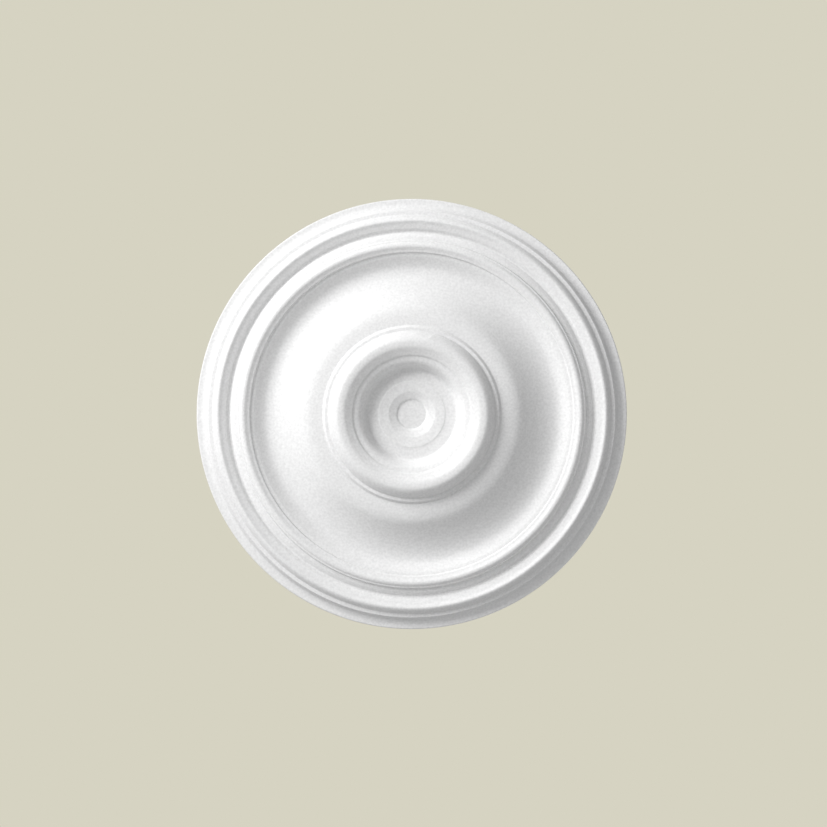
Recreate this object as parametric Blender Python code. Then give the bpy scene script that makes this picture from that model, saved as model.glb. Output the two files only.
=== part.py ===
"""Ceiling rose: one round moulded disc with a boss, a dished centre and a stepped border.

It hangs face down. The ceiling is the plane z = 0, the origin is the centre of the flat back, and the
moulded face looks down towards -Z. A profile point is (radius, projection), where the projection is
how far the face stands below the ceiling. All sizes are in metres.
"""

import bmesh
import bpy
import numpy as np
from math import radians, tau

# Whole rose
ROSE_RADIUS = 0.1500
ROSE_DEPTH = 0.0370  # ceiling to the crest of the boss
SEGMENTS = 72

# Dish in the boss, from the centre outwards
DISC_RADIUS = 0.0098  # flat spot in the middle, where a lamp's hook or cord goes through
DISC_STEP_WIDTH = 0.0012
DISC_STEP_RISE = 0.00115
DISC_SLOPE_WIDTH = 0.0036
DISC_SLOPE_RISE = 0.00115
PAD_EDGE_WIDTH = 0.0015
PAD_EDGE_RISE = 0.0007
PAD_WIDTH = 0.0067  # nearly flat ring round the spot
PAD_RISE = 0.0002
PAD_STEP_WIDTH = 0.0008
PAD_STEP_FALL = 0.0004
FLOOR_WIDTH = 0.0058
FLOOR_FALL = 0.0003
FLOOR_SLOPE = 0.07  # how steeply the floor falls away where it meets the wall's cove
WALL_COVE_WIDTH = 0.0032
WALL_COVE_RISE = 0.0019
WALL_SLOPE = 2.10  # slope where the cove passes into the wall's brow
WALL_BROW_WIDTH = 0.0028
WALL_BROW_RISE = 0.0062
SHELF_TOP_SLOPE = 1.20
SHELF_WIDTH = 0.00505
SHELF_RISE = 0.00255
SHELF_SLOPE = 0.36
LIP_WIDTH = 0.00115
LIP_RISE = 0.0013
OGEE_FOOT_WIDTH = 0.00425
OGEE_FOOT_RISE = 0.0022
OGEE_SLOPE = 0.59  # steepest slope of the ogee below the crest
OGEE_HEAD_WIDTH = 0.00485
OGEE_HEAD_RISE = 0.00085

# Outer side of the boss, from its crest outwards
BOSS_SIDE_WIDTH = 0.0076
BOSS_SIDE_FALL = 0.0080
BOSS_SIDE_SLOPE = 2.20  # slope at the foot of the rounded side
BOSS_FILLET_WIDTH = 0.00225
BOSS_FILLET_FALL = 0.00005
BOSS_FOOT_WIDTH = 0.0016
BOSS_FOOT_FALL = 0.00205

# Plain field between the boss and the border: (share of its width, slope) from the boss outwards
FIELD_SLOPES = (
    (0.00, 0.03),
    (0.14, 0.07),
    (0.27, 0.26),
    (0.40, 0.66),
    (0.60, 0.54),
    (0.80, 0.34),
    (0.92, 0.15),
    (1.00, 0.00),
)
FIELD_STEPS = 9

# Border, from the rim inwards
RIM_EDGE = 0.0028  # upright edge against the ceiling
RIM_ROUND = 0.0009
BRIM_FLAT_WIDTH = 0.0005
BRIM_COVE_WIDTH = 0.0050
BRIM_COVE_RISE = 0.00165
BRIM_COVE_SLOPE = 0.81  # slope at the top of the cove
BRIM_RISER_WIDTH = 0.0019
BRIM_RISER_RISE = 0.0043
BRIM_FILLET_WIDTH = 0.0027
BRIM_FILLET_RISE = 0.0002
OUTER_RING_FOOT_WIDTH = 0.0013
OUTER_RING_FOOT_RISE = 0.00265
OUTER_RING_FACE_WIDTH = 0.0029
OUTER_RING_FACE_RISE = 0.00225
OUTER_RING_FACE_SLOPE = 1.50  # slope at the foot of the rounded face
OUTER_RING_BACK_WIDTH = 0.00285
OUTER_RING_BACK_FALL = 0.0011
OUTER_RING_BACK_SLOPE = 0.08
OUTER_LEDGE_WIDTH = 0.0023
OUTER_LEDGE_FALL = 0.0007
QUIRK_SIDE_WIDTH = 0.0022
QUIRK_SIDE_FALL = 0.0016
QUIRK_SIDE_SLOPE = 0.30
QUIRK_WIDTH = 0.0011
QUIRK_COVE_WIDTH = 0.0029
QUIRK_COVE_RISE = 0.0024
QUIRK_COVE_SLOPE = 1.16  # slope where the cove leaves the quirk
INNER_LEDGE_WIDTH = 0.00205
INNER_LEDGE_RISE = 0.0006
INNER_LEDGE_SLOPE = 0.37
OUTER_STEP_WIDTH = 0.0005
OUTER_STEP_RISE = 0.0021
OUTER_FILLET_WIDTH = 0.00105
OUTER_FILLET_RISE = 0.0002
INNER_RING_FACE_WIDTH = 0.00285
INNER_RING_FACE_RISE = 0.00165
INNER_RING_FACE_SLOPE = 1.65
INNER_RING_BACK_WIDTH = 0.0026
INNER_RING_BACK_FALL = 0.0012
INNER_RING_BACK_SLOPE = 0.53
INNER_FILLET_WIDTH = 0.00155
INNER_FILLET_FALL = 0.00035
INNER_STEP_WIDTH = 0.0005
INNER_STEP_FALL = 0.00135
COVE_FILLET_WIDTH = 0.0023
COVE_FILLET_FALL = 0.00045
FIELD_COVE_WIDTH = 0.0090
FIELD_COVE_FALL = 0.0038
FIELD_COVE_SLOPE = 0.60  # slope at the top of the cove, under the fillet

# White paint over a moulded core
PAINT_COLOUR = (0.86, 0.86, 0.855, 1.0)
PAINT_ROUGHNESS = 0.45

SHARP_EDGE_DEG = 22.0


def straight(width, rise):
    """A flat stretch of moulding, as one offset from where it starts."""
    return np.array([[width, rise]])


def curved(width, rise, slope_in, slope_out, steps):
    """A smooth stretch with given slopes at its two ends.

    For t from 0 to 1, the offset is width * t along, and
    rise * t^2 (3 - 2t) + width * (slope_in * t (1 - t)^2 - slope_out * t^2 (1 - t)) up.
    """
    t = np.linspace(0.0, 1.0, steps + 1)[1:]
    up = rise * t**2 * (3.0 - 2.0 * t)
    up += width * (slope_in * t * (1.0 - t) ** 2 - slope_out * t**2 * (1.0 - t))
    return np.column_stack([width * t, up])


def chain(start, stretches):
    """Lays the stretches end to end and returns all their points, the start included."""
    points = [np.array(start)]
    for stretch in stretches:
        points.extend(points[-1] + stretch)
    return np.array(points)


def dish_and_boss():
    """Profile from the rim of the flat spot to the foot of the boss, outwards."""
    dish = [
        straight(DISC_STEP_WIDTH, DISC_STEP_RISE),
        straight(DISC_SLOPE_WIDTH, DISC_SLOPE_RISE),
        straight(PAD_EDGE_WIDTH, PAD_EDGE_RISE),
        straight(PAD_WIDTH, PAD_RISE),
        straight(PAD_STEP_WIDTH, -PAD_STEP_FALL),
        curved(FLOOR_WIDTH, -FLOOR_FALL, 0.0, -FLOOR_SLOPE, 1),
        curved(WALL_COVE_WIDTH, WALL_COVE_RISE, -FLOOR_SLOPE, WALL_SLOPE, 3),
        curved(WALL_BROW_WIDTH, WALL_BROW_RISE, WALL_SLOPE, SHELF_TOP_SLOPE, 2),
        curved(SHELF_WIDTH, SHELF_RISE, SHELF_TOP_SLOPE, SHELF_SLOPE, 2),
        straight(LIP_WIDTH, LIP_RISE),
        curved(OGEE_FOOT_WIDTH, OGEE_FOOT_RISE, SHELF_SLOPE, OGEE_SLOPE, 2),
        curved(OGEE_HEAD_WIDTH, OGEE_HEAD_RISE, OGEE_SLOPE, 0.0, 2),
    ]
    side = [
        curved(BOSS_SIDE_WIDTH, -BOSS_SIDE_FALL, 0.0, -BOSS_SIDE_SLOPE, 5),
        straight(BOSS_FILLET_WIDTH, -BOSS_FILLET_FALL),
        straight(BOSS_FOOT_WIDTH, -BOSS_FOOT_FALL),
    ]
    inner = chain((DISC_RADIUS, 0.0), dish)
    inner[:, 1] += ROSE_DEPTH - inner[-1, 1]
    outer = chain(inner[-1], side)
    return np.vstack([inner, outer[1:]])


def border():
    """Profile from the bottom of the field's cove to the rim at the ceiling, outwards."""
    from_rim = [
        straight(0.0, RIM_EDGE),
        quarter_round(RIM_ROUND, 2),
        straight(BRIM_FLAT_WIDTH, 0.0),
        curved(BRIM_COVE_WIDTH, BRIM_COVE_RISE, 0.0, BRIM_COVE_SLOPE, 3),
        straight(BRIM_RISER_WIDTH, BRIM_RISER_RISE),
        straight(BRIM_FILLET_WIDTH, BRIM_FILLET_RISE),
        straight(OUTER_RING_FOOT_WIDTH, OUTER_RING_FOOT_RISE),
        curved(OUTER_RING_FACE_WIDTH, OUTER_RING_FACE_RISE, OUTER_RING_FACE_SLOPE, 0.0, 3),
        curved(OUTER_RING_BACK_WIDTH, -OUTER_RING_BACK_FALL, 0.0, -OUTER_RING_BACK_SLOPE, 2),
        straight(OUTER_LEDGE_WIDTH, -OUTER_LEDGE_FALL),
        curved(QUIRK_SIDE_WIDTH, -QUIRK_SIDE_FALL, 0.0, -QUIRK_SIDE_SLOPE, 1),
        straight(QUIRK_WIDTH, 0.0),
        curved(QUIRK_COVE_WIDTH, QUIRK_COVE_RISE, QUIRK_COVE_SLOPE, INNER_LEDGE_SLOPE, 2),
        straight(INNER_LEDGE_WIDTH, INNER_LEDGE_RISE),
        straight(OUTER_STEP_WIDTH, OUTER_STEP_RISE),
        straight(OUTER_FILLET_WIDTH, OUTER_FILLET_RISE),
        curved(INNER_RING_FACE_WIDTH, INNER_RING_FACE_RISE, INNER_RING_FACE_SLOPE, 0.0, 3),
        curved(INNER_RING_BACK_WIDTH, -INNER_RING_BACK_FALL, 0.0, -INNER_RING_BACK_SLOPE, 2),
        straight(INNER_FILLET_WIDTH, -INNER_FILLET_FALL),
        straight(INNER_STEP_WIDTH, -INNER_STEP_FALL),
        straight(COVE_FILLET_WIDTH, -COVE_FILLET_FALL),
        curved(FIELD_COVE_WIDTH, -FIELD_COVE_FALL, -FIELD_COVE_SLOPE, 0.0, 3),
    ]
    points = chain((0.0, 0.0), from_rim)
    points[:, 0] = ROSE_RADIUS - points[:, 0]
    return points[::-1]


def quarter_round(radius, steps):
    """A rounded edge: starts upright and ends flat."""
    angle = np.linspace(0.0, tau / 4.0, steps + 1)[1:]
    return radius * np.column_stack([1.0 - np.cos(angle), np.sin(angle)])


def field(start, end, steps):
    """Points of the plain field strictly between the foot of the boss and the bottom of the cove.

    Its slope runs evenly from one value of FIELD_SLOPES to the next. Adding the slope up gives the
    fall, which is then scaled to the fall between the two ends.
    """
    share, slope = np.array(FIELD_SLOPES).T
    t = np.linspace(0.0, 1.0, steps + 1)
    at = np.interp(t, share, slope)
    fall = np.concatenate([[0.0], np.cumsum(at[1:] + at[:-1])])
    fall /= fall[-1]
    points = np.outer(1.0 - t, start)
    points[:, 0] = start[0] + (end[0] - start[0]) * t
    points[:, 1] = start[1] + (end[1] - start[1]) * fall
    return points[1:-1]


def profile():
    """The whole moulded face from the flat spot out to the rim, as (radius, projection)."""
    centre = dish_and_boss()
    edge = border()
    return np.vstack([centre, field(centre[-1], edge[0], FIELD_STEPS), edge])


def turned_mesh(name, points):
    """Spins the profile once round Z and closes the flat spot and the flat back."""
    bm = bmesh.new()
    verts = [bm.verts.new((radius, 0.0, -projection)) for radius, projection in points]
    edges = [bm.edges.new(pair) for pair in zip(verts, verts[1:])]
    bmesh.ops.spin(
        bm,
        geom=verts + edges,
        cent=(0.0, 0.0, 0.0),
        axis=(0.0, 0.0, 1.0),
        angle=tau,
        steps=SEGMENTS,
        use_merge=True,
    )
    bmesh.ops.holes_fill(bm, edges=bm.edges, sides=SEGMENTS)
    bmesh.ops.recalc_face_normals(bm, faces=bm.faces)
    mesh = bpy.data.meshes.new(name)
    bm.to_mesh(mesh)
    bm.free()
    mesh.shade_smooth()
    mesh.set_sharp_from_angle(angle=radians(SHARP_EDGE_DEG))
    return mesh


def white_paint():
    """Matt white factory paint."""
    material = bpy.data.materials.new("white_paint")
    material.use_nodes = True
    shader = material.node_tree.nodes["Principled BSDF"]
    shader.inputs["Base Color"].default_value = PAINT_COLOUR
    shader.inputs["Roughness"].default_value = PAINT_ROUGHNESS
    shader.inputs["Metallic"].default_value = 0.0
    return material


def clear_scene():
    for thing in list(bpy.data.objects):
        bpy.data.objects.remove(thing, do_unlink=True)


def build():
    clear_scene()
    mesh = turned_mesh("ceiling_rose", profile())
    mesh.materials.append(white_paint())
    rose = bpy.data.objects.new("ceiling_rose", mesh)
    bpy.context.scene.collection.objects.link(rose)


build()
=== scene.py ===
# %% [markdown]
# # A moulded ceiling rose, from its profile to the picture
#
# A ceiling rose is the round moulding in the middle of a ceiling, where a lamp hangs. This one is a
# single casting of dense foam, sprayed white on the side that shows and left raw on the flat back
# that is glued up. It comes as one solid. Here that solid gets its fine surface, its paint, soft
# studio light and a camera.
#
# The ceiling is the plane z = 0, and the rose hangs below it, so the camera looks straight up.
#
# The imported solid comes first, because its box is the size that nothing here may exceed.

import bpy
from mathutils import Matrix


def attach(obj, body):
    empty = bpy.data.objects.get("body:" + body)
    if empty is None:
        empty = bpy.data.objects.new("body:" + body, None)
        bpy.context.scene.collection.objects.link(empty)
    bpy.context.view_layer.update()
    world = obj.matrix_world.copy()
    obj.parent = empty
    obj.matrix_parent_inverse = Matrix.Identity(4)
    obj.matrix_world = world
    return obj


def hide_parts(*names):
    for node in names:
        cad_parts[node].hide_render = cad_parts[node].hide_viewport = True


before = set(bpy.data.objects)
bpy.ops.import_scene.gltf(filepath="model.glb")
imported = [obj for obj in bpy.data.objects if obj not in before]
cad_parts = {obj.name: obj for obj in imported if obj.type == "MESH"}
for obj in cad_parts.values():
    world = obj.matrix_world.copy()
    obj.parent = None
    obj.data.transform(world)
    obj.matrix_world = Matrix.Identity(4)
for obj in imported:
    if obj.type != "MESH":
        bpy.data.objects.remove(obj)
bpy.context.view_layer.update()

# %% [markdown]
# ## Mouldings as a path
#
# A plasterer draws a rose as a profile, half a section from the middle to the rim, and turns it
# round the centre. The profile could be drawn as a curve object, but numbers are easier to check
# against a real moulding: every flat, cove and step has a width across the face and a rise towards
# the room. So each stretch is a small array of offsets from where it starts, in millimetres, and
# the stretches are laid end to end. A point of the profile is (radius, projection below the ceiling).

# %% Two kinds of stretch
from math import cos, pi, radians, sin

import numpy as np

PARTS = np.linspace(0.0, 1.0, 17)[1:]  # how finely each stretch is cut


def straight(width, rise):
    """A flat stretch: for t from 0 to 1 the offset is (width * t, rise * t)."""
    return np.column_stack([width * PARTS, rise * PARTS])


def curved(width, rise, slope_in, slope_out):
    """A smooth stretch that starts and ends with the given slopes.

    The offset is width * t across, and rise * t^2 (3 - 2t) up, plus width times
    slope_in * t (1 - t)^2 - slope_out * t^2 (1 - t), which bends the two ends.
    """
    t = PARTS
    up = rise * t**2 * (3.0 - 2.0 * t)
    up += width * (slope_in * t * (1.0 - t) ** 2 - slope_out * t**2 * (1.0 - t))
    return np.column_stack([width * t, up])


def laid_end_to_end(start, stretches):
    """Each stretch is added to the last point of the one before it."""
    path = [np.array([start])]
    for stretch in stretches:
        path.append(path[-1][-1] + stretch)
    return np.vstack(path)


print("points in a stretch:", len(PARTS))

# %% [markdown]
# ## The dish and the boss
#
# The middle of the rose is a round boss like a thick ring, and the dish inside it takes the cup of a
# lamp. In the dish, from the centre outwards, lie a flat spot that is drilled for the hook, a low
# pad round it, a floor, a steep wall, a sloping shelf with a small lip, and an ogee up to the crest.
# The crest stands furthest into the room, so the dish is measured down from it.

# %% Profile of the dish and the boss
ROSE_DEPTH = 37.0  # ceiling to the crest, in mm
SPOT_RADIUS = 9.8  # flat spot for the lamp's hook, in mm

dish = [
    straight(1.2, 1.15),  # step round the spot
    straight(3.6, 1.15),  # slope out of its hollow
    straight(1.5, 0.7),  # step up to the pad
    straight(6.7, 0.2),  # pad that a lamp's cup rests on
    straight(0.8, -0.4),  # edge of the pad
    curved(5.8, -0.3, 0.0, -0.07),  # floor
    curved(3.2, 1.9, -0.07, 2.10),  # foot of the wall
    curved(2.8, 6.2, 2.10, 1.20),  # wall
    curved(5.05, 2.55, 1.20, 0.36),  # sloping shelf
    straight(1.15, 1.3),  # lip
    curved(4.25, 2.2, 0.36, 0.59),  # ogee, its hollow part
    curved(4.85, 0.85, 0.59, 0.0),  # ogee, its round part up to the crest
]
boss_side = [
    curved(7.6, -8.0, 0.0, -2.20),  # rounded shoulder
    straight(2.25, -0.05),  # fillet
    straight(1.6, -2.05),  # foot
]
dish_path = laid_end_to_end((SPOT_RADIUS, 0.0), dish)
dish_path[:, 1] += ROSE_DEPTH - dish_path[-1, 1]
boss_path = laid_end_to_end(dish_path[-1], boss_side)
print("the spot lies", round(ROSE_DEPTH - dish_path[0, 1], 2), "mm below the crest")
print("crest at radius", round(dish_path[-1, 0], 2), "foot at", round(boss_path[-1, 0], 2))

# %% [markdown]
# ## The stepped border
#
# The border carries two raised rings with a groove between them, and a cove down to the rim. It is
# measured from the rim inwards, starting with the upright edge against the ceiling, because the rim
# is the size that a fitter knows. The path is then mirrored, so that it runs outwards like the rest.

# %% Profile of the border
ROSE_RADIUS = 150.0  # axis to the rim, in mm
RIM_EDGE = 2.8  # upright edge against the ceiling, in mm


def quarter_round(radius):
    """An edge that starts upright and ends flat.

    The offset is radius * (1 - cos a, sin a), for a from 0 to 90 degrees.
    """
    angle = PARTS * pi / 2.0
    return radius * np.column_stack([1.0 - np.cos(angle), np.sin(angle)])


brim = [
    quarter_round(0.9),  # arris of the rim
    straight(0.5, 0.0),
    curved(5.0, 1.65, 0.0, 0.81),  # cove behind the rim
    straight(1.9, 4.3),  # riser
    straight(2.7, 0.2),  # fillet
]
outer_ring = [
    straight(1.3, 2.65),  # foot
    curved(2.9, 2.25, 1.50, 0.0),  # face
    curved(2.85, -1.1, 0.0, -0.08),  # back
    straight(2.3, -0.7),  # ledge
]
groove = [
    curved(2.2, -1.6, 0.0, -0.30),  # side
    straight(1.1, 0.0),  # bottom
    curved(2.9, 2.4, 1.16, 0.37),  # cove
    straight(2.05, 0.6),  # ledge
]
inner_ring = [
    straight(0.5, 2.1),  # step
    straight(1.05, 0.2),  # fillet
    curved(2.85, 1.65, 1.65, 0.0),  # face
    curved(2.6, -1.2, 0.0, -0.53),  # back
    straight(1.55, -0.35),  # fillet
    straight(0.5, -1.35),  # step
    straight(2.3, -0.45),  # fillet over the cove
    curved(9.0, -3.8, -0.60, 0.0),  # cove down to the field
]
border_path = laid_end_to_end((0.0, RIM_EDGE), brim + outer_ring + groove + inner_ring)
border_path[:, 0] = ROSE_RADIUS - border_path[:, 0]
border_path = border_path[::-1]
print("the border starts at radius", round(border_path[0, 0], 2), "mm:", len(border_path), "points")

# %% [markdown]
# ## The field
#
# Between the boss and the border lies the plain field, a long easy curve that drops towards the
# ceiling. Its character is in how steep it is at each place, so its slope is what is set, at a few
# shares of its width. Adding the slope up gives the drop, which is scaled to meet both neighbours.

# %% Profile of the field
SLOPE_AT = (0.00, 0.14, 0.27, 0.40, 0.60, 0.80, 0.92, 1.00)  # share of the field's width
SLOPE = (0.03, 0.07, 0.26, 0.66, 0.54, 0.34, 0.15, 0.00)  # drop per width, before the scaling
FIELD_POINTS = 121

inner_end, outer_end = boss_path[-1], border_path[0]
share = np.linspace(0.0, 1.0, FIELD_POINTS)
slope = np.interp(share, SLOPE_AT, SLOPE)
drop = np.concatenate([[0.0], np.cumsum(slope[1:] + slope[:-1])])
field_path = np.column_stack([
    inner_end[0] + (outer_end[0] - inner_end[0]) * share,
    inner_end[1] + (outer_end[1] - inner_end[1]) * drop / drop[-1],
])
print("the field drops", round(inner_end[1] - outer_end[1], 2), "mm over",
      round(outer_end[0] - inner_end[0], 2), "mm")

# %% [markdown]
# ## Rounded arrises
#
# A casting has no knife edges: the mould's corners are a little round, and paint fills them further.
# Bevelling each edge of the mesh would work, but it is simpler to round the path itself. It is cut
# into very short even steps, and each point is replaced by the average of its neighbours, weighted
# by a bell curve. Straight runs stay straight, and every corner gets the same small radius.

# %% Close the path and soften it
FINE = 0.05  # mm between points
ARRIS = 0.25  # spread of the bell curve, in mm
BELL_REACH = 4  # spreads to each side, beyond which the bell curve is as good as 0


def even_steps(path, step):
    """Points at equal distances along a path.

    The lengths of its parts are summed, and both coordinates are read at even sums.
    """
    length = np.concatenate([[0.0], np.cumsum(np.hypot(*np.diff(path, axis=0).T))])
    at = np.linspace(0.0, length[-1], int(length[-1] / step))
    return np.column_stack([np.interp(at, length, path[:, 0]), np.interp(at, length, path[:, 1])])


def softened(path, spread):
    """Each point becomes the mean of its neighbours, weighted by exp(-(distance / spread)^2 / 2).

    Beyond its ends the path goes on as its own image through the end.
    """
    reach = int(BELL_REACH * spread / FINE)
    weight = np.exp(-0.5 * (np.arange(-reach, reach + 1) * FINE / spread) ** 2)
    weight /= weight.sum()
    before = 2.0 * path[0] - path[reach:0:-1]
    after = 2.0 * path[-1] - path[-2 : -reach - 2 : -1]
    longer = np.vstack([before, path, after])
    return np.column_stack([np.convolve(longer[:, k], weight, "valid") for k in (0, 1)])


centre_of_face = np.array([[0.0, dish_path[0, 1]]])
back = np.array([[ROSE_RADIUS, 0.0], [0.0, 0.0]])
whole_path = np.vstack([
    centre_of_face, dish_path, boss_path[1:], field_path[1:-1], border_path, back
])
profile = softened(even_steps(whole_path, FINE), ARRIS)
profile[0, 0] = profile[-1, 0] = 0.0
print("softened profile:", len(profile), "points, crest at", round(profile[:, 1].max(), 3), "mm")

# %% [markdown]
# ## Where the rings go
#
# Turning all those points would give millions of faces. A mesh needs rings close together where the
# profile bends and few where it runs straight. So each short step is given a cost, its length plus
# its change of direction, and the rings are set at equal sums of that cost. The shoulder of the boss
# carries a small flaw, made further down, so the rings are set closer there.

# %% Choose the rings
RINGS = 272
RING_SPACING = 3.0  # mm of straight run that costs as much as
RING_TURN = radians(8.5)  # this much bending
CLOSE_RINGS = 0.5  # and as this many mm of run at the flaw
FLAW_RADIUS = 55.2  # mm from the axis
CLOSE_WIDTH = 2.2  # mm, how far the closer rings spread to each side of it


def bell(distance, spread):
    """A bell curve, 1 in the middle: exp(-(distance / spread)^2 / 2)."""
    return np.exp(-0.5 * (distance / spread) ** 2)


def at_equal_sums(cost, count):
    """Places, counted in steps, where the running sum of the cost passes equal amounts."""
    total = np.concatenate([[0.0], np.cumsum(cost)])
    return np.interp(np.linspace(0.0, total[-1], count), total, np.arange(len(total)))


step = np.diff(profile, axis=0)
length = np.hypot(step[:, 0], step[:, 1])
heading = np.unwrap(np.arctan2(step[:, 1], step[:, 0]))
bend = np.abs(np.diff(heading, append=heading[-1]))
on_shoulder = bell(profile[:-1, 0] - FLAW_RADIUS, CLOSE_WIDTH) * (profile[:-1, 1] > RIM_EDGE)
cost = length / RING_SPACING + bend / RING_TURN + length * on_shoulder / CLOSE_RINGS
place = at_equal_sums(cost, RINGS)
point_number = np.arange(len(profile))
rings = np.column_stack([np.interp(place, point_number, profile[:, k]) for k in (0, 1)])
closest = np.hypot(*np.diff(rings, axis=0).T).min()
print("rings:", len(rings), "closest", round(float(closest), 3), "mm apart")

# %% [markdown]
# ## Where the columns go
#
# Round the axis the rose is the same everywhere but at the flaw, so the columns could be even, as
# the Spin tool makes them. Here they follow the same rule as the rings: each small part of the turn
# costs 1, and more near the flaw, and the columns are set at equal sums.

# %% Choose the columns
AROUND = 360
FLAW_ANGLE = radians(102.6)  # from +X towards +Y
CLOSE_COLUMNS = 5.0  # how many more columns stand at the flaw for each one elsewhere
CLOSE_ANGLE = radians(5.0)  # how far they spread to each side of it
TURN_STEPS = 7200  # small parts of the full turn
TURN_STEP = 2.0 * pi / TURN_STEPS

turn = np.arange(TURN_STEPS) * TURN_STEP
column_cost = 1.0 + CLOSE_COLUMNS * bell(turn - FLAW_ANGLE, CLOSE_ANGLE)
angle = at_equal_sums(column_cost, AROUND + 1)[:-1] * TURN_STEP
closest = np.degrees(np.diff(angle).min())
print("columns:", AROUND, "closest", round(float(closest), 2), "degrees apart")

# %% [markdown]
# ## Where the grooves are
#
# Narrow grooves get their paint a shade darker: painted shade that deepens the shading in them.
# Blender has a Pointiness value for this, which depends on the mesh. Here it is measured on the
# profile: the path is softened once more, widely, and a point that lies below that softer path is
# in a groove.

# %% Measure the grooves
GROOVE_REACH = 1.2  # mm, spread of the softer path
GROOVE_FULL = 0.5  # mm below it that counts as fully in a groove
NO_LENGTH = 1e-9  # keeps a step of no length from dividing by zero

softer = softened(profile, GROOVE_REACH)
path_step = np.gradient(profile, axis=0)
out_of_face = np.column_stack([-path_step[:, 1], path_step[:, 0]])
out_of_face /= np.maximum(np.hypot(path_step[:, 0], path_step[:, 1]), NO_LENGTH)[:, None]
below = ((softer - profile) * out_of_face).sum(axis=1)
groove_of_ring = np.interp(place, point_number, np.clip(below / GROOVE_FULL, 0.0, 1.0))
print("deepest groove:", round(float(below.max()), 2), "mm below the softer path")

# %% [markdown]
# ## Turning the profile
#
# Blender can turn a profile with its Spin tool or the Screw modifier. Here the grid is worked out
# directly: one row per ring and one column per angle. The two ends of the profile lie on the axis,
# so each becomes a single point with a fan of triangles, which keeps the surface closed.

# %% Grid of points
inner_rings = rings[1:-1]
radius = np.repeat(inner_rings[:, :1], AROUND, axis=1)
projection = np.repeat(inner_rings[:, 1:], AROUND, axis=1)
around = np.repeat(angle[None, :], len(inner_rings), axis=0)
print("grid of", radius.shape[0], "rings by", radius.shape[1], "angles")

# %% [markdown]
# ## A small flaw
#
# The shoulder of the boss has one small flaw. Where the mould was chipped, the casting came out a
# little too full: a low lump with one sharp slanting end, whose tail fades out along the ring. A hand
# with a sculpting brush could draw it. As a formula it is three factors multiplied: a quick S-shaped
# start across the sharp end, a slow fading along the ring, and a bell curve across it. The product
# is added to the projection, which nowhere passes the depth of the rose.

# %% Raise the flaw on the shoulder
FLAW_HEIGHT = 0.5  # mm
FLAW_END = 0.15  # mm over which it starts
FLAW_TAIL = 6.5  # mm over which it fades along the ring
FLAW_SPREAD = 1.6  # across the ring, in mm
FLAW_SLANT = 1.1  # mm along the ring for each mm outwards
FAR_OFF = 40.0  # where the S-shaped start is as good as 0 or 1

across = radius - FLAW_RADIUS
along = (around - FLAW_ANGLE) * radius - FLAW_SLANT * across
start = 1.0 / (1.0 + np.exp(-np.clip(along / FLAW_END, -FAR_OFF, FAR_OFF)))
tail = np.exp(-np.maximum(along, 0.0) / FLAW_TAIL)
on_the_face = projection > RIM_EDGE
flaw = FLAW_HEIGHT * start * tail * bell(across, FLAW_SPREAD) * on_the_face
projection = np.minimum(projection + flaw, ROSE_DEPTH)
print("highest point of the flaw:", round(float(flaw.max()), 3), "mm")

# %% [markdown]
# ## Points and faces
#
# A point of the grid stands at its radius and angle, as far below the ceiling as its projection, so
# (radius * cos a, radius * sin a, -projection). Four neighbours in the grid make one face. They are
# listed so that the face looks outwards, and the last column is joined to the first.

# %% Work out the points and the faces
MM = 0.001
grid = np.stack([radius * np.cos(around), radius * np.sin(around), -projection], axis=-1)
grid = grid.reshape(-1, 3)
face_pole = [[0.0, 0.0, -rings[0, 1]]]
back_pole = [[0.0, 0.0, -rings[-1, 1]]]
points = np.vstack([grid, face_pole, back_pole]) * MM

row = np.arange(len(inner_rings) - 1)[:, None] * AROUND
column = np.arange(AROUND)[None, :]
following = (column + 1) % AROUND
next_row = row + AROUND
quads = np.stack([row + column, row + following, next_row + following, next_row + column], axis=-1)
quads = quads.reshape(-1, 4)

face_end, back_end = len(grid), len(grid) + 1
last_row = (len(inner_rings) - 1) * AROUND
face_fan = np.column_stack([np.full(AROUND, face_end), following[0], column[0]])
back_fan = np.column_stack([
    np.full(AROUND, back_end), last_row + column[0], last_row + following[0]
])
fans = np.vstack([face_fan, back_fan])
print("points:", len(points), "four-sided faces:", len(quads), "three-sided:", len(fans))

# %% [markdown]
# ## Into Blender
#
# Blender keeps a mesh as long lists: the points, the corners of all faces one after another, and
# where each face starts. Handing over whole lists is far quicker than adding faces one by one. The
# measured grooves go along as an attribute, one number for each point, which a material can read.

# %% Build the mesh
import bpy


def mesh_from(name, points, quads, triangles):
    """A mesh of four-sided faces followed by three-sided ones, handed over as whole arrays."""
    corners = np.concatenate([quads.ravel(), triangles.ravel()]).astype(np.int32)
    starts = np.concatenate([np.arange(len(quads)) * 4, quads.size + np.arange(len(triangles)) * 3])
    mesh = bpy.data.meshes.new(name)
    mesh.vertices.add(len(points))
    mesh.vertices.foreach_set("co", points.astype(np.float32).ravel())
    mesh.loops.add(len(corners))
    mesh.loops.foreach_set("vertex_index", corners)
    mesh.polygons.add(len(starts))
    mesh.polygons.foreach_set("loop_start", starts.astype(np.int32))
    mesh.update(calc_edges=True)
    mesh.validate()
    mesh.shade_smooth()
    return mesh


rose_mesh = mesh_from("moulded_rose", points, quads, fans)
groove_at_point = np.concatenate([
    np.repeat(groove_of_ring[1:-1], AROUND), groove_of_ring[[0, -1]]
])
groove_layer = rose_mesh.attributes.new("groove", "FLOAT", "POINT")
groove_layer.data.foreach_set("value", groove_at_point.astype(np.float32))
triangles = 2 * len(quads) + len(fans)
print("faces:", len(rose_mesh.polygons), "which is", triangles, "triangles")

# %% [markdown]
# ## Is it closed, and the right way out?
#
# A surface of revolution turns inside out easily. Adding up the small tetrahedra between every
# triangle and the origin gives the volume, and its sign tells whether the faces point outwards. One
# of them with the corners a, b and c holds a . (b x c) / 6.

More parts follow.
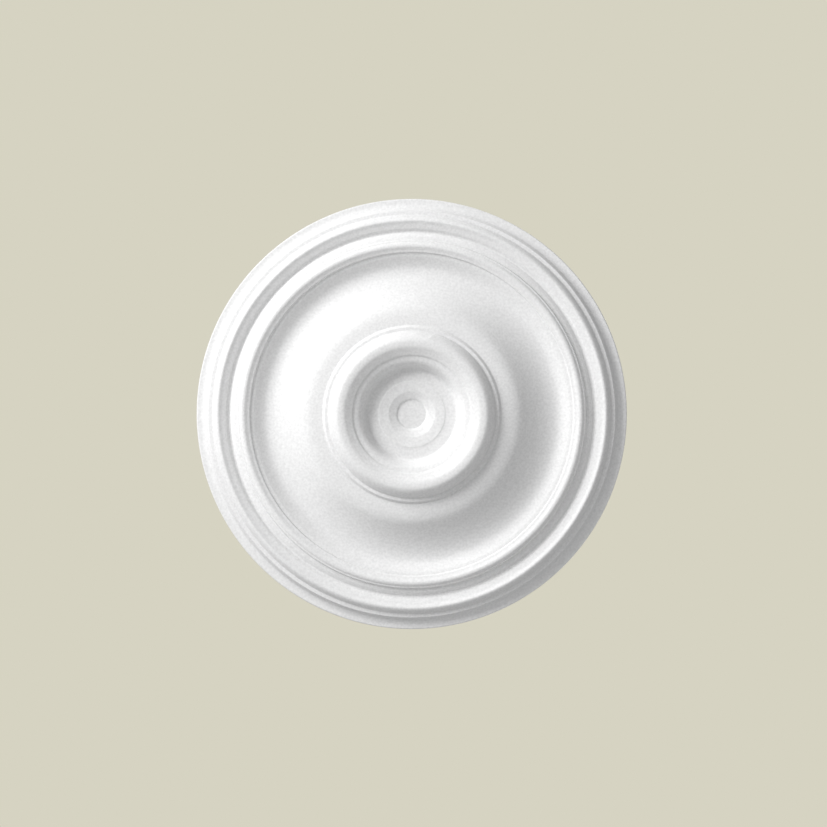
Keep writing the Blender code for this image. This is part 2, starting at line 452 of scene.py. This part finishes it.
# %% Measure the volume
LITRES = 1000.0  # in a cubic metre

every = np.vstack([quads[:, [0, 1, 2]], quads[:, [0, 2, 3]], fans])
a, b, c = (points[every[:, k]] for k in range(3))
volume = np.einsum("ij,ij->i", a, np.cross(b, c)).sum() / 6.0
facing = "outwards" if volume > 0 else "inwards"
print("volume:", round(volume * LITRES, 3), "litres, faces point", facing)

# %% [markdown]
# ## Skin: a shared effect
#
# Neither sprayed paint nor raw foam is perfectly even. Both have small dimples that catch the light,
# slow changes of tone and a fine speckle of the filler in them. A node group holds that once, with
# the sizes as inputs, and each finish uses it with its own values. It reads Object coordinates, so
# the pattern stays on the piece. A noise keeps mostly to its middle values, so the speckle is
# stretched to run from black to white before it leaves the group.

# %% A node group for dimples, mottling and speckle
RATES = {"Dimples per metre": 600.0, "Mottles per metre": 30.0, "Specks per metre": 700.0}


def add_node(tree, kind, **inputs):
    """Adds a node and sets its unlinked inputs by name, with spaces written as underscores."""
    node = tree.nodes.new(kind)
    for name, value in inputs.items():
        node.inputs[name.replace("_", " ")].default_value = value
    return node


skin = bpy.data.node_groups.new("moulded_skin", "ShaderNodeTree")
for name, usual in RATES.items():
    socket = skin.interface.new_socket(name=name, in_out="INPUT", socket_type="NodeSocketFloat")
    socket.default_value = usual
for name in ("Dimples", "Mottling", "Speckle"):
    skin.interface.new_socket(name=name, in_out="OUTPUT", socket_type="NodeSocketFloat")

entry = skin.nodes.new("NodeGroupInput")
exit_ = skin.nodes.new("NodeGroupOutput")
where = skin.nodes.new("ShaderNodeTexCoord")
dimples = add_node(skin, "ShaderNodeTexNoise", Detail=2.0, Roughness=0.55)
mottling = add_node(skin, "ShaderNodeTexNoise", Detail=3.0, Roughness=0.6)
specks = add_node(skin, "ShaderNodeTexNoise", Detail=1.0, Roughness=0.5)
stretched = add_node(skin, "ShaderNodeMapRange", From_Min=0.25, From_Max=0.75)
for noise, rate in zip((dimples, mottling, specks), RATES):
    skin.links.new(where.outputs["Object"], noise.inputs["Vector"])
    skin.links.new(entry.outputs[rate], noise.inputs["Scale"])
skin.links.new(dimples.outputs["Fac"], exit_.inputs["Dimples"])
skin.links.new(mottling.outputs["Fac"], exit_.inputs["Mottling"])
skin.links.new(specks.outputs["Fac"], stretched.inputs["Value"])
skin.links.new(stretched.outputs["Result"], exit_.inputs["Speckle"])
print("group:", skin.name, "with", [socket.name for socket in skin.interface.items_tree])

# %% [markdown]
# ## A finish made from the skin
#
# Both finishes are put together alike: a colour between two values, multiplied by the speckle, a
# roughness between two values, and a bump from the dimples. A node group could hold all of it, but
# a Principled shader has to stay in its material to be exported, so a function sets out the nodes.

# %% How a finish is put together


def times(tree, colour, factor):
    """A colour multiplied by a factor. Takes two sockets, and returns the one of the product."""
    product = tree.nodes.new("ShaderNodeVectorMath")
    product.operation = "SCALE"
    tree.links.new(colour, product.inputs[0])
    tree.links.new(factor, product.inputs["Scale"])
    return product.outputs["Vector"]


def skinned_material(name, low, high, speckle, rough_low, rough_high, specular, bump_mm, per_metre):
    """A finish whose colour runs between two values by the mottling, with fine specks and dimples.

    The specks multiply that colour by anything from 1 - speckle to 1 + speckle. The sockets of its
    colour and its normal come back too, because each finish lays something more over them.
    """
    material = bpy.data.materials.new(name)
    material.use_nodes = True
    tree = material.node_tree
    shader = tree.nodes["Principled BSDF"]
    shader.inputs["Specular IOR Level"].default_value = specular
    shader.inputs["Metallic"].default_value = 0.0
    group = tree.nodes.new("ShaderNodeGroup")
    group.node_tree = skin
    for rate, value in zip(RATES, per_metre):
        group.inputs[rate].default_value = value
    tone = tree.nodes.new("ShaderNodeMix")
    tone.data_type = "RGBA"
    tone.inputs["A"].default_value = (*low, 1.0)
    tone.inputs["B"].default_value = (*high, 1.0)
    tree.links.new(group.outputs["Mottling"], tone.inputs["Factor"])
    gain = add_node(tree, "ShaderNodeMapRange", To_Min=1.0 - speckle, To_Max=1.0 + speckle)
    tree.links.new(group.outputs["Speckle"], gain.inputs["Value"])
    colour = times(tree, tone.outputs["Result"], gain.outputs["Result"])
    tree.links.new(colour, shader.inputs["Base Color"])
    rough = add_node(tree, "ShaderNodeMapRange", To_Min=rough_low, To_Max=rough_high)
    tree.links.new(group.outputs["Mottling"], rough.inputs["Value"])
    tree.links.new(rough.outputs["Result"], shader.inputs["Roughness"])
    bump = add_node(tree, "ShaderNodeBump", Strength=1.0, Distance=bump_mm * MM)
    tree.links.new(group.outputs["Dimples"], bump.inputs["Height"])
    tree.links.new(bump.outputs["Normal"], shader.inputs["Normal"])
    return material, colour, bump.outputs["Normal"]


print("a finish sets", len(RATES), "rates of the skin")

# %% [markdown]
# ## White paint
#
# The face is sprayed with a matt white primer. Matt paint scatters almost all light and mirrors very
# little, so the roughness is high and the specular level low. A faint orange peel a few millimetres
# across breaks up the shading, and the tone wanders by a few hundredths with a fine speckle in it.
# The measured grooves are painted a shade darker, as painted shade in the creases.

# %% White paint for the face
GROOVE_PAINTED_SHADE = 0.06  # how much darker a full groove is

white_paint, paint_colour, _ = skinned_material(
    "white_paint",
    low=(0.78,) * 3,
    high=(0.81,) * 3,
    speckle=0.07,
    rough_low=0.46,
    rough_high=0.58,
    specular=0.3,
    bump_mm=0.15,
    per_metre=(300.0, 25.0, 600.0),
)
tree = white_paint.node_tree
# The groove attribute darkens the paint's colour in the creases: painted shade.
in_groove = tree.nodes.new("ShaderNodeAttribute")
in_groove.attribute_name = "groove"
groove_painted_shade = add_node(tree, "ShaderNodeMapRange", To_Min=1.0, To_Max=1.0 - GROOVE_PAINTED_SHADE)
tree.links.new(in_groove.outputs["Fac"], groove_painted_shade.inputs["Value"])
shaded_paint = times(tree, paint_colour, groove_painted_shade.outputs["Result"])
tree.links.new(shaded_paint, tree.nodes["Principled BSDF"].inputs["Base Color"])
print("finish of the face:", white_paint.name)

# %% [markdown]
# ## Raw foam on the back
#
# The back is the bare foam as it left the mould, cream coloured and dull, with fine pores. The spray
# gun works from the front, so a little white mist wraps round the rim and fades out within a few
# millimetres. The mist depends on the distance from the axis, which is the length of the Object
# coordinates without their z, and a noise makes its edge uneven.

# %% Raw foam and the white mist at its edge
MIST_START, MIST_END = 0.1475, 0.1535  # m from the axis, where the mist is thin and full
MIST_WANDER = 0.006  # m, how far the noise moves its edge
MIST_PATCHES = 140.0  # per metre
MIST_TONE = 0.81

raw_foam, foam_colour, foam_normal = skinned_material(
    "raw_foam",
    low=(0.60, 0.555, 0.45),
    high=(0.70, 0.66, 0.56),
    speckle=0.04,
    rough_low=0.70,
    rough_high=0.86,
    specular=0.2,
    bump_mm=0.25,
    per_metre=(420.0, 45.0, 500.0),
)
tree = raw_foam.node_tree
where = tree.nodes.new("ShaderNodeTexCoord")
flat = add_node(tree, "ShaderNodeVectorMath")
flat.operation = "MULTIPLY"
flat.inputs[1].default_value = (1.0, 1.0, 0.0)
distance = tree.nodes.new("ShaderNodeVectorMath")
distance.operation = "LENGTH"
uneven = add_node(tree, "ShaderNodeTexNoise", Scale=MIST_PATCHES, Detail=3.0)
shifted = add_node(tree, "ShaderNodeMath")
shifted.operation = "MULTIPLY_ADD"
shifted.inputs[1].default_value = MIST_WANDER
mist = add_node(tree, "ShaderNodeMapRange", From_Min=MIST_START, From_Max=MIST_END)
sprayed = tree.nodes.new("ShaderNodeMix")
sprayed.data_type = "RGBA"
sprayed.inputs["B"].default_value = (MIST_TONE, MIST_TONE, MIST_TONE, 1.0)
tree.links.new(where.outputs["Object"], flat.inputs[0])
tree.links.new(where.outputs["Object"], uneven.inputs["Vector"])
tree.links.new(flat.outputs["Vector"], distance.inputs[0])
tree.links.new(uneven.outputs["Fac"], shifted.inputs[0])
tree.links.new(distance.outputs["Value"], shifted.inputs[2])
tree.links.new(shifted.outputs["Value"], mist.inputs["Value"])
tree.links.new(mist.outputs["Result"], sprayed.inputs["Factor"])
tree.links.new(foam_colour, sprayed.inputs["A"])
print("finish of the back:", raw_foam.name, "with mist beyond", MIST_START, "m")

# %% [markdown]
# ## Pores in the foam
#
# Gas bubbles leave small round pits in a foam's skin. A Voronoi texture scatters points and gives
# the distance to the nearest one, so a low distance marks a pit. It lowers the surface there and
# darkens its colour a little as painted shade in the pit, over the dimples and the mist already there.

# %% Pores
PORES_PER_METRE = 210.0
PORE_FLOOR, PORE_EDGE = 0.10, 0.26  # from its middle, as shares of the pores' spacing
PORE_DEPTH = 0.5  # mm
PORE_STRENGTH = 0.8  # of the bump
PORE_SHADE = 0.80  # the colour at the bottom is multiplied by this

pores = add_node(tree, "ShaderNodeTexVoronoi", Scale=PORES_PER_METRE)
pits = add_node(tree, "ShaderNodeMapRange", From_Min=PORE_FLOOR, From_Max=PORE_EDGE)
pit_bump = add_node(tree, "ShaderNodeBump", Strength=PORE_STRENGTH, Distance=PORE_DEPTH * MM)
# pit_shade darkens the colour at the bottom of each pit: painted shade.
pit_shade = add_node(tree, "ShaderNodeMapRange", To_Min=PORE_SHADE, To_Max=1.0)
tree.links.new(where.outputs["Object"], pores.inputs["Vector"])
tree.links.new(pores.outputs["Distance"], pits.inputs["Value"])
tree.links.new(pits.outputs["Result"], pit_bump.inputs["Height"])
tree.links.new(foam_normal, pit_bump.inputs["Normal"])
tree.links.new(pit_bump.outputs["Normal"], tree.nodes["Principled BSDF"].inputs["Normal"])
tree.links.new(pits.outputs["Result"], pit_shade.inputs["Value"])
pitted = times(tree, sprayed.outputs["Result"], pit_shade.outputs["Result"])
tree.links.new(pitted, tree.nodes["Principled BSDF"].inputs["Base Color"])
print("pores", round(1.0 / PORES_PER_METRE / MM, 1), "mm apart, bump of", PORE_DEPTH, "mm")

# %% [markdown]
# ## Which faces are painted
#
# A mesh holds several materials in slots, and each face names its slot by number. Rows of faces at
# the level of the ceiling are the back and take the raw foam. The rest takes the paint, which goes
# round the rim and ends just over the arris of the back.

# %% Give every face its slot
BACK_LEVEL = 0.05  # mm below the ceiling that still counts as the back
BACK_PAINT_EDGE = 149.0  # mm from the axis, where the paint ends

row_is_back = (inner_rings[:-1, 1] < BACK_LEVEL) & (inner_rings[:-1, 0] < BACK_PAINT_EDGE)
slots = np.concatenate([
    np.repeat(row_is_back, AROUND),
    np.zeros(AROUND, bool),
    np.ones(AROUND, bool),
]).astype(np.int32)
rose_mesh.materials.append(white_paint)
rose_mesh.materials.append(raw_foam)
rose_mesh.polygons.foreach_set("material_index", slots)
rose_mesh.update()
print("painted faces:", int((slots == 0).sum()), "raw faces:", int((slots == 1).sum()))

# %% [markdown]
# ## The piece
#
# The rose has no moving parts. The rose has no moving parts, so its one piece rides on the only body
# of the imported part, and it is shown in place of the plain solid, which stays behind, hidden.

# %% Put the rose on its body
rose = bpy.data.objects.new("ceiling_rose_moulding", rose_mesh)
bpy.context.scene.collection.objects.link(rose)
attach(rose, "root")
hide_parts("ceiling_rose")
print("piece:", rose.name, "on body root")

# %% [markdown]
# ## A pale floor, far below
#
# The rose hangs from a ceiling, so the studio floor is a room's height under it and under the
# camera. It never shows behind the rose, but it throws soft light up at the face, as any pale floor
# does.

# %% Floor
FLOOR_DROP = 5.4  # m below the ceiling
FLOOR_HALF = 6.0  # m from its middle to each side
FLOOR_TONE = 0.70
FLOOR_ROUGHNESS = 0.85

side = np.array([[-1, -1], [1, -1], [1, 1], [-1, 1]]) * FLOOR_HALF
floor_points = np.column_stack([side, np.full(4, -FLOOR_DROP)])
floor_mesh = bpy.data.meshes.new("studio_floor")
floor_mesh.from_pydata(floor_points.tolist(), [], [(0, 1, 2, 3)])
floor_paint = bpy.data.materials.new("floor_paint")
floor_paint.use_nodes = True
floor_shader = floor_paint.node_tree.nodes["Principled BSDF"]
floor_shader.inputs["Base Color"].default_value = (FLOOR_TONE, FLOOR_TONE, FLOOR_TONE, 1.0)
floor_shader.inputs["Roughness"].default_value = FLOOR_ROUGHNESS
floor_mesh.materials.append(floor_paint)
floor = bpy.data.objects.new("studio_floor", floor_mesh)
bpy.context.scene.collection.objects.link(floor)
print("floor", FLOOR_DROP, "m below the ceiling")

# %% [markdown]
# ## Soft light from one side
#
# Low relief only shows when light rakes over it. The key light is a large round softbox that stands
# to one side, about a third of a right angle below the ceiling's plane, so that every moulding has
# a bright and a shaded flank with a soft edge between them. How soft depends on how wide the box
# looks from the rose. A lamp's power is worked out from the light that should arrive: a flat lamp of
# P watts gives P / (pi * distance^2) watts per square metre straight ahead.

# %% Lamps
from mathutils import Vector


def soft_lamp(name, compass, elevation, distance, apparent, arriving):
    """A round area lamp aimed at the rose.

    Compass is the angle from +X towards +Y, and elevation is above the ceiling's plane, both in
    degrees. Apparent is the angle that the lamp fills, and arriving is in watts per square metre.
    """
    flat, up = cos(radians(elevation)), sin(radians(elevation))
    towards = Vector((flat * cos(radians(compass)), flat * sin(radians(compass)), up))
    lamp = bpy.data.lights.new(name, "AREA")
    lamp.shape = "DISK"
    lamp.size = 2.0 * distance * np.tan(radians(apparent) / 2.0)
    lamp.energy = arriving * pi * distance**2
    holder = bpy.data.objects.new(name, lamp)
    holder.location = towards * distance
    holder.rotation_euler = towards.to_track_quat("Z", "Y").to_euler()
    holder.visible_camera = False
    bpy.context.scene.collection.objects.link(holder)
    print(name, "at", [round(x, 2) for x in holder.location], "size", round(lamp.size, 2), "m")


soft_lamp("key_softbox", compass=37.5, elevation=-29.1, distance=6.0, apparent=32.7, arriving=3.48)
soft_lamp("low_fill", compass=-90.0, elevation=-45.0, distance=4.5, apparent=35.0, arriving=0.24)
soft_lamp("back_softbox", compass=215.0, elevation=72.0, distance=4.0, apparent=40.0, arriving=1.8)

# %% [markdown]
# ## Backdrop and room light
#
# The picture has a plain warm grey behind the rose. The world's colour could do both jobs, but then
# the paint would turn warm too. So the camera sees the warm grey, and every other ray meets a
# neutral, dimmer room.

# %% World
ROOM_LIGHT = 0.38
BACKDROP = (214, 211, 194)  # as it should read in the finished picture


def linear(level):
    """The light value of a picture level from 0 to 255, by the usual screen curve."""
    v = level / 255.0
    return v / 12.92 if v <= 0.04045 else ((v + 0.055) / 1.055) ** 2.4


world = bpy.data.worlds.new("studio")
world.use_nodes = True
tree = world.node_tree
room = tree.nodes["Background"]
room.inputs["Color"].default_value = (1.0, 1.0, 1.0, 1.0)
room.inputs["Strength"].default_value = ROOM_LIGHT
backdrop = tree.nodes.new("ShaderNodeBackground")
backdrop.inputs["Color"].default_value = (*(linear(level) for level in BACKDROP), 1.0)
ray = tree.nodes.new("ShaderNodeLightPath")
either = tree.nodes.new("ShaderNodeMixShader")
tree.links.new(ray.outputs["Is Camera Ray"], either.inputs["Fac"])
tree.links.new(room.outputs["Background"], either.inputs[1])
tree.links.new(backdrop.outputs["Background"], either.inputs[2])
tree.links.new(either.outputs["Shader"], tree.nodes["World Output"].inputs["Surface"])
scene = bpy.context.scene
scene.world = world
scene.view_settings.view_transform = "Standard"
print("room light", ROOM_LIGHT, "backdrop", BACKDROP)

# %% [markdown]
# ## Camera
#
# The picture looks up the axis of the rose from far away, through a long lens, so circles stay
# circles. The width of the view follows from how many pixels the rim fills, and the aim from where
# the rose's centre falls in the picture. Seen from below, the picture's right is -X and its top is
# +Y. The lens stands a hair towards +Y, which lowers the boss against the rim by half a pixel. A
# camera looks down its own -Z, so its three axes are worked out as the picture's right, its top and
# the way back from the rose.

# %% Camera
from mathutils import Matrix

PICTURE = 827  # pixels each way
RIM_PIXELS = 215.0  # from centre to rim
CENTRE = (411.75, 414.0)  # of the rim, in pixels from the top left corner
CAMERA_DROP = 5.0  # m below the ceiling
LEAN = (0.0035, 0.011)  # sideways per metre of drop, along X and Y
SENSOR = 36.0  # mm, width of the camera's sensor
SIGHT = 50.0  # m, the farthest that the camera sees

pixel = ROSE_RADIUS * MM / RIM_PIXELS
aim = Vector(((CENTRE[0] - PICTURE / 2.0) * pixel, (CENTRE[1] - PICTURE / 2.0) * pixel, 0.0))
camera_data = bpy.data.cameras.new("camera")
camera_data.sensor_width = SENSOR
camera_data.lens = SENSOR * CAMERA_DROP / (PICTURE * pixel)
camera_data.clip_end = SIGHT
camera = bpy.data.objects.new("camera", camera_data)
camera.location = aim + Vector((LEAN[0], LEAN[1], -1.0)) * CAMERA_DROP
behind = (camera.location - aim).normalized()
to_the_right = Vector((0.0, 1.0, 0.0)).cross(behind).normalized()
upwards = behind.cross(to_the_right)
camera.rotation_euler = Matrix((to_the_right, upwards, behind)).transposed().to_euler()
scene.collection.objects.link(camera)
scene.camera = camera
print("lens", round(camera_data.lens, 1), "mm, view", round(PICTURE * pixel / MM), "mm wide")
